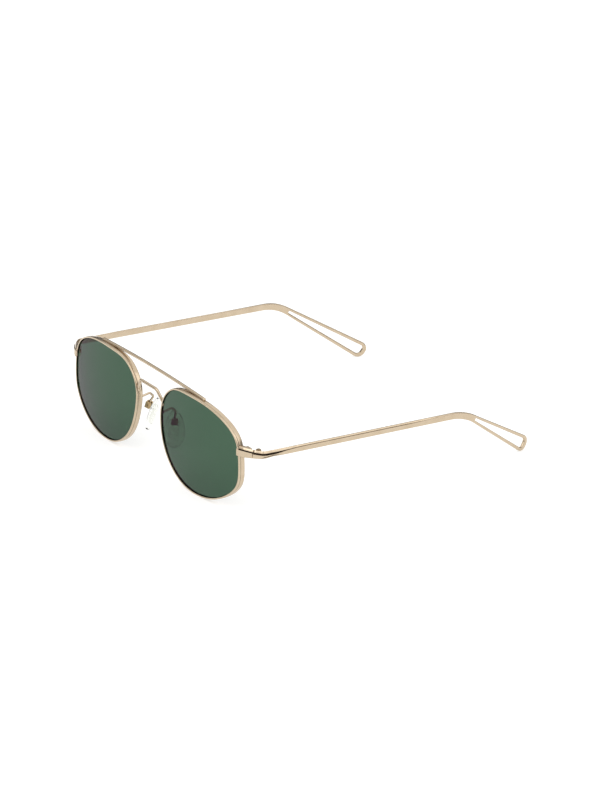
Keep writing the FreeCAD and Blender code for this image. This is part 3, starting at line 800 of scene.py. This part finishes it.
def soften(node, tail, width, body, slot, material):
    """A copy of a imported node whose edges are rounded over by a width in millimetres."""
    name = node + "_soft" + tail
    work = bmesh.new()
    work.from_mesh(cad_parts[node + tail].data)
    bmesh.ops.remove_doubles(work, verts=work.verts, dist=1e-7)
    bmesh.ops.dissolve_limit(work, angle_limit=math.radians(1.0), verts=work.verts, edges=work.edges)
    mesh = bpy.data.meshes.new(name)
    work.to_mesh(mesh)
    work.free()
    mesh.materials.clear()
    mesh.materials.append(material)
    mesh.shade_smooth()
    mesh.set_sharp_from_angle(angle=HARDWARE_SHARP)
    piece = bpy.data.objects.new(name, mesh)
    bpy.context.scene.collection.objects.link(piece)
    rounding = piece.modifiers.new("edges", "BEVEL")
    rounding.width = width * MM
    rounding.segments = 2
    rounding.limit_method = "ANGLE"
    rounding.angle_limit = HARDWARE_SHARP
    even_out(piece)
    attach(piece, body, slot, node + tail)


# Nose pads


def pad_point(across, up, out):
    """A point of the left pad: across it to the front, up it, and out of its face to the nose."""
    width = np.array((-math.sin(PAD_SPLAY), -math.cos(PAD_SPLAY), 0.0))
    flat = np.array((-math.cos(PAD_SPLAY), math.sin(PAD_SPLAY), 0.0))
    up_axis = np.array((0.0, 0.0, 1.0))
    face = flat * math.cos(PAD_FLARE) - up_axis * math.sin(PAD_FLARE)
    length = flat * math.sin(PAD_FLARE) + up_axis * math.cos(PAD_FLARE)
    return tuple(np.array(PAD_MIDDLE) + width * across + length * up + face * out)


def make_nose_pad(side_name, side, silicone):
    """A soft oval cushion, fuller at its foot, with a crowned face and a flatter back."""
    count = 72
    half = PAD_THICKNESS / 2
    turns = [2 * math.pi * step / count for step in range(count)]
    rings = []
    for level in np.linspace(-PAD_SMALLEST_RING, PAD_SMALLEST_RING, 26):
        spread = math.cos(level) ** PAD_CROWN
        height = half * math.sin(level) * (1.0 if level > 0 else PAD_BACK)
        ring = []
        for turn in turns:
            up = PAD_HALF_LENGTH * math.sin(turn)
            width = PAD_HALF_WIDTH * PAD_WAIST * (1 - PAD_TAPER * math.sin(turn))
            across = width * math.cos(turn) * (1 - PAD_POINT * math.sin(turn) ** 2)
            ring.append(pad_point(across * spread, up * spread, height))
        rings.append(ring)
    points, faces = loft(rings)
    piece = make_object("pad_silicone_" + side_name, points, faces, silicone, side, sharp=80.0)
    attach(piece, "nose_pad_" + side_name, "clear_silicone", "nose_pad_" + side_name)


# Materials

GOLD = ((0.59, 0.485, 0.36, 1.0), (0.54, 0.435, 0.31, 1.0))
SCREW_GOLD = ((0.42, 0.32, 0.20, 1.0), (0.36, 0.27, 0.16, 1.0))
BOX_GOLD = ((0.74, 0.57, 0.33, 1.0), (0.64, 0.48, 0.27, 1.0))
# The dark brown painted into grooves as shade.
PAINTED_SHADE_BROWN = (0.03, 0.02, 0.012, 1.0)
TINT = ((0.235, 0.34, 0.266, 1.0), (0.245, 0.35, 0.275, 1.0))
COATING = (0.40, 0.19, 0.36, 1.0)
CLEAR = ((0.90, 0.91, 0.88, 1.0), (0.97, 0.97, 0.95, 1.0))
PAPER = (0.54, 0.54, 0.537, 1.0)
PAPER_GLOW = (1.0, 1.0, 0.995, 1.0)


def new_material(name):
    """An empty material, with its nodes, its links and its output node."""
    material = bpy.data.materials.new(name)
    material.use_nodes = True
    nodes = material.node_tree.nodes
    nodes.clear()
    output = nodes.new("ShaderNodeOutputMaterial")
    return material, nodes, material.node_tree.links, output


def noise_node(nodes, links, scale, detail, stretch=None):
    """Noise in the object's own space, in metres, optionally stretched into fine lines."""
    coordinates = nodes.new("ShaderNodeTexCoord")
    mapping = nodes.new("ShaderNodeMapping")
    mapping.inputs["Scale"].default_value = stretch or (1.0, 1.0, 1.0)
    noise = nodes.new("ShaderNodeTexNoise")
    noise.inputs["Scale"].default_value = scale
    noise.inputs["Detail"].default_value = detail
    links.new(coordinates.outputs["Object"], mapping.inputs["Vector"])
    links.new(mapping.outputs["Vector"], noise.inputs["Vector"])
    return noise


def ramp_node(nodes, links, source, low, high):
    """Noise stays near its middle value, so the two colours meet over the middle of its range."""
    ramp = nodes.new("ShaderNodeValToRGB")
    first, last = ramp.color_ramp.elements
    first.position, first.color = 0.3, low
    last.position, last.color = 0.7, high
    links.new(source, ramp.inputs["Fac"])
    return ramp


def range_node(nodes, links, source, low, high):
    """Takes a source from 0 to 1 on to low to high."""
    spread = nodes.new("ShaderNodeMapRange")
    spread.inputs["To Min"].default_value = low
    spread.inputs["To Max"].default_value = high
    links.new(source, spread.inputs["Value"])
    return spread


def gold_material(name, colours, roughness, spread):
    """Plated metal: colour and gloss that drift a little, faint polishing lines, and painted shade from
    the mesh's per-point attribute, which mixes the colour towards dark brown.
    """
    material, nodes, links, output = new_material(name)
    shader = nodes.new("ShaderNodeBsdfPrincipled")
    shader.inputs["Metallic"].default_value = 1.0
    cloud = noise_node(nodes, links, 260.0, 3.0)
    light, dark = colours
    colour = ramp_node(nodes, links, cloud.outputs["Fac"], dark, light)
    # Painted shade: the mesh's per-point attribute mixes the colour towards a dark brown.
    painted_shade = nodes.new("ShaderNodeAttribute")
    painted_shade.attribute_name = "painted_shade"
    painted_shade_mix = nodes.new("ShaderNodeMix")
    painted_shade_mix.data_type = "RGBA"
    links.new(painted_shade.outputs["Fac"], painted_shade_mix.inputs["Factor"])
    links.new(colour.outputs["Color"], painted_shade_mix.inputs["A"])
    painted_shade_mix.inputs["B"].default_value = PAINTED_SHADE_BROWN
    links.new(painted_shade_mix.outputs["Result"], shader.inputs["Base Color"])
    patch = noise_node(nodes, links, 900.0, 4.0)
    gloss = range_node(nodes, links, patch.outputs["Fac"], roughness, roughness + spread)
    links.new(gloss.outputs["Result"], shader.inputs["Roughness"])
    lines = noise_node(nodes, links, 2600.0, 2.0, (1.0, 0.06, 1.0))
    bump = nodes.new("ShaderNodeBump")
    bump.inputs["Strength"].default_value = 0.06
    bump.inputs["Distance"].default_value = 0.00002
    links.new(lines.outputs["Fac"], bump.inputs["Height"])
    links.new(bump.outputs["Normal"], shader.inputs["Normal"])
    links.new(shader.outputs["BSDF"], output.inputs["Surface"])
    return material


def lens_material():
    """Green tinted glass: it dims what is behind it, and its coated outside mirrors more at a slant."""
    material, nodes, links, output = new_material("lens_tint")
    fresnel = nodes.new("ShaderNodeFresnel")
    fresnel.inputs["IOR"].default_value = 1.33
    geometry = nodes.new("ShaderNodeNewGeometry")
    front_only = nodes.new("ShaderNodeMapRange")
    front_only.inputs["To Max"].default_value = 0.0
    links.new(geometry.outputs["Backfacing"], front_only.inputs["Value"])
    links.new(fresnel.outputs["Fac"], front_only.inputs["To Min"])
    clear = nodes.new("ShaderNodeBsdfRefraction")
    clear.inputs["IOR"].default_value = 1.5
    clear.inputs["Roughness"].default_value = 0.0
    cloud = noise_node(nodes, links, 30.0, 1.0)
    tint = ramp_node(nodes, links, cloud.outputs["Fac"], *TINT)
    links.new(tint.outputs["Color"], clear.inputs["Color"])
    gloss = nodes.new("ShaderNodeBsdfGlossy")
    gloss.inputs["Color"].default_value = COATING
    gloss.inputs["Roughness"].default_value = 0.06
    mix = nodes.new("ShaderNodeMixShader")
    links.new(front_only.outputs["Result"], mix.inputs["Fac"])
    links.new(clear.outputs["BSDF"], mix.inputs[1])
    links.new(gloss.outputs["BSDF"], mix.inputs[2])
    links.new(mix.outputs["Shader"], output.inputs["Surface"])
    return material


def silicone_material(name, bending, roughness):
    """Water-clear soft plastic. bending is its index of refraction."""
    material, nodes, links, output = new_material(name)
    shader = nodes.new("ShaderNodeBsdfPrincipled")
    shader.inputs["Transmission Weight"].default_value = 1.0
    shader.inputs["IOR"].default_value = bending
    cloud = noise_node(nodes, links, 400.0, 2.0)
    colour = ramp_node(nodes, links, cloud.outputs["Fac"], *CLEAR)
    links.new(colour.outputs["Color"], shader.inputs["Base Color"])
    gloss = range_node(nodes, links, cloud.outputs["Fac"], roughness, roughness + 0.08)
    links.new(gloss.outputs["Result"], shader.inputs["Roughness"])
    links.new(shader.outputs["BSDF"], output.inputs["Surface"])
    return material


def floor_material():
    """White paper, lit from below as well, so that shadows stay faint."""
    material, nodes, links, output = new_material("floor_paper")
    shader = nodes.new("ShaderNodeBsdfPrincipled")
    shader.inputs["Base Color"].default_value = PAPER
    shader.inputs["Emission Color"].default_value = PAPER_GLOW
    shader.inputs["Emission Strength"].default_value = 0.58
    shader.inputs["Roughness"].default_value = 0.9
    shader.inputs["Specular IOR Level"].default_value = 0.0
    links.new(shader.outputs["BSDF"], output.inputs["Surface"])
    return material


# Stage, light and camera


def make_floor():
    """A pale plane under the object, wide enough to have no edge in view."""
    half = 3.0
    mesh = bpy.data.meshes.new("floor")
    low = cad_box[0][2]
    mesh.from_pydata([(-half, -half, low), (half, -half, low), (half, half, low), (-half, half, low)],
                     [], [(0, 1, 2, 3)])
    mesh.materials.append(floor_material())
    floor = bpy.data.objects.new("floor", mesh)
    bpy.context.scene.collection.objects.link(floor)


def make_light(name, place, size, power):
    """A soft box that shines at the middle of the object."""
    data = bpy.data.lights.new(name, "AREA")
    data.shape = "RECTANGLE"
    data.size, data.size_y = size
    data.energy = power
    lamp = bpy.data.objects.new(name, data)
    lamp.location = place
    lamp.rotation_euler = (-Vector(place)).to_track_quat("-Z", "Y").to_euler()
    bpy.context.scene.collection.objects.link(lamp)


# The tent's brightness by height, from straight down at 0 to straight up at 1.
FLOOR_GLOW = (0.45, 0.42, 0.38, 1.0)
TENT_LEVELS = ((0.49, 0.08), (0.60, 0.12), (0.69, 0.42), (0.77, 1.0))
TENT_STRENGTH = 1.16


def make_world():
    """A white tent, dimmer round the horizon, so that polished metal has something to mirror."""
    world = bpy.data.worlds.new("studio")
    world.use_nodes = True
    bpy.context.scene.world = world
    nodes, links = world.node_tree.nodes, world.node_tree.links
    nodes.clear()
    output = nodes.new("ShaderNodeOutputWorld")
    background = nodes.new("ShaderNodeBackground")
    coordinates = nodes.new("ShaderNodeTexCoord")
    split = nodes.new("ShaderNodeSeparateXYZ")
    links.new(coordinates.outputs["Generated"], split.inputs["Vector"])
    ramp = nodes.new("ShaderNodeValToRGB")
    stops = ramp.color_ramp.elements
    stops[0].color = FLOOR_GLOW
    for position, level in TENT_LEVELS:
        stop = stops.new(position)
        stop.color = (level, level * 0.98, level * 0.95, 1.0)
    height = range_node(nodes, links, split.outputs["Z"], 0.0, 1.0)
    height.inputs["From Min"].default_value = -1.0
    links.new(height.outputs["Result"], ramp.inputs["Fac"])
    links.new(ramp.outputs["Color"], background.inputs["Color"])
    background.inputs["Strength"].default_value = TENT_STRENGTH
    links.new(background.outputs["Background"], output.inputs["Surface"])


CAMERA_AZIMUTH = math.radians(58.0)
CAMERA_ELEVATION = math.radians(21.8)
CAMERA_DISTANCE = 2808.0
CAMERA_LENS = 315.09
CAMERA_LEAN = math.radians(0.84)
CAMERA_AIM = (0.0, 71.29, -7.58)


def make_camera():
    """A long lens from the wearer's front left, a little above.

    CAMERA_AIM is measured from the front of the lenses' middle, and the whole view leans about the
    X axis there.
    """
    azimuth, elevation = CAMERA_AZIMUTH, CAMERA_ELEVATION
    back = Vector((math.sin(azimuth) * math.cos(elevation), -math.cos(azimuth) * math.cos(elevation),
                   math.sin(elevation)))
    right = Vector((math.cos(azimuth), math.sin(azimuth), 0.0))
    up = back.cross(right)
    lean = Matrix.Rotation(CAMERA_LEAN, 3, "X")
    place = Vector(CAMERA_AIM) + back * CAMERA_DISTANCE
    place = lean @ place + Vector((0.0, 0.0, LENS_MIDDLE[2]))
    place.y -= DEPTH_MIDDLE
    data = bpy.data.cameras.new("camera")
    data.sensor_width = 36.0
    data.lens = CAMERA_LENS
    data.clip_start = 0.1
    data.clip_end = 20.0
    camera = bpy.data.objects.new("camera", data)
    turned = Matrix((lean @ right, lean @ up, lean @ back)).transposed().to_4x4()
    camera.matrix_world = Matrix.Translation(place * MM) @ turned
    bpy.context.scene.collection.objects.link(camera)
    bpy.context.scene.camera = camera


def main():
    gold = gold_material("gold_plate", GOLD, 0.15, 0.10)
    screw_gold = gold_material("gold_screw", SCREW_GOLD, 0.25, 0.10)
    box_gold = gold_material("gold_box", BOX_GOLD, 0.5, 0.12)
    glass = lens_material()
    silicone = silicone_material("pad_silicone", 1.22, 0.06)
    plastic = silicone_material("pad_core_clear", 1.1, 0.02)
    for side_name, side in SIDES.items():
        make_rim(side_name, side, gold)
        make_lens(side_name, side, glass)
        make_endpiece(side_name, side, gold)
        make_hinge_seat(side_name, side, gold)
        make_temple(side_name, side, gold)
        make_nose_pad(side_name, side, silicone)
        tail = "_" + side_name
        for node, width, body, slot, metal in (
                ("rim_lock_upper", 0.12, "front", "gold_metal", gold),
                ("rim_lock_lower", 0.12, "front", "gold_metal", gold),
                ("hinge_front", 0.12, "front", "gold_metal", gold),
                ("hinge_temple", 0.1, "temple" + tail, "gold_metal", gold),
                ("rim_screw", 0.06, "front", "screw_metal", screw_gold),
                ("hinge_screw", 0.06, "front", "screw_metal", screw_gold),
                ("pad_screw", 0.05, "front", "screw_metal", screw_gold),
                ("pad_box", 0.26, "front", "pad_box_metal", box_gold)):
            soften(node, tail, width, body, slot, metal)
        for node, material in (("pad_arm", gold), ("pad_core", plastic)):
            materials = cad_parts[node + tail].data.materials
            materials.clear()
            materials.append(material)
        make_solder("solder_bridge" + tail, BRIDGE_START, BRIDGE_SOLDER, side, gold)
        make_solder("solder_arm" + tail, ARM_START, ARM_SOLDER, side, gold)
    make_brow_bar(gold)
    make_bridge(gold)
    make_floor()
    make_world()
    make_light("key", (0.5, -0.9, 1.3), (1.4, 1.4), 5.5)
    make_light("fill", (1.2, 0.3, 0.9), (1.2, 1.2), 3.0)
    make_light("strip_front", (-0.3, -1.2, 1.1), (1.2, 0.1), 0.4)
    make_camera()
    bpy.context.scene.view_settings.view_transform = "Standard"


main()
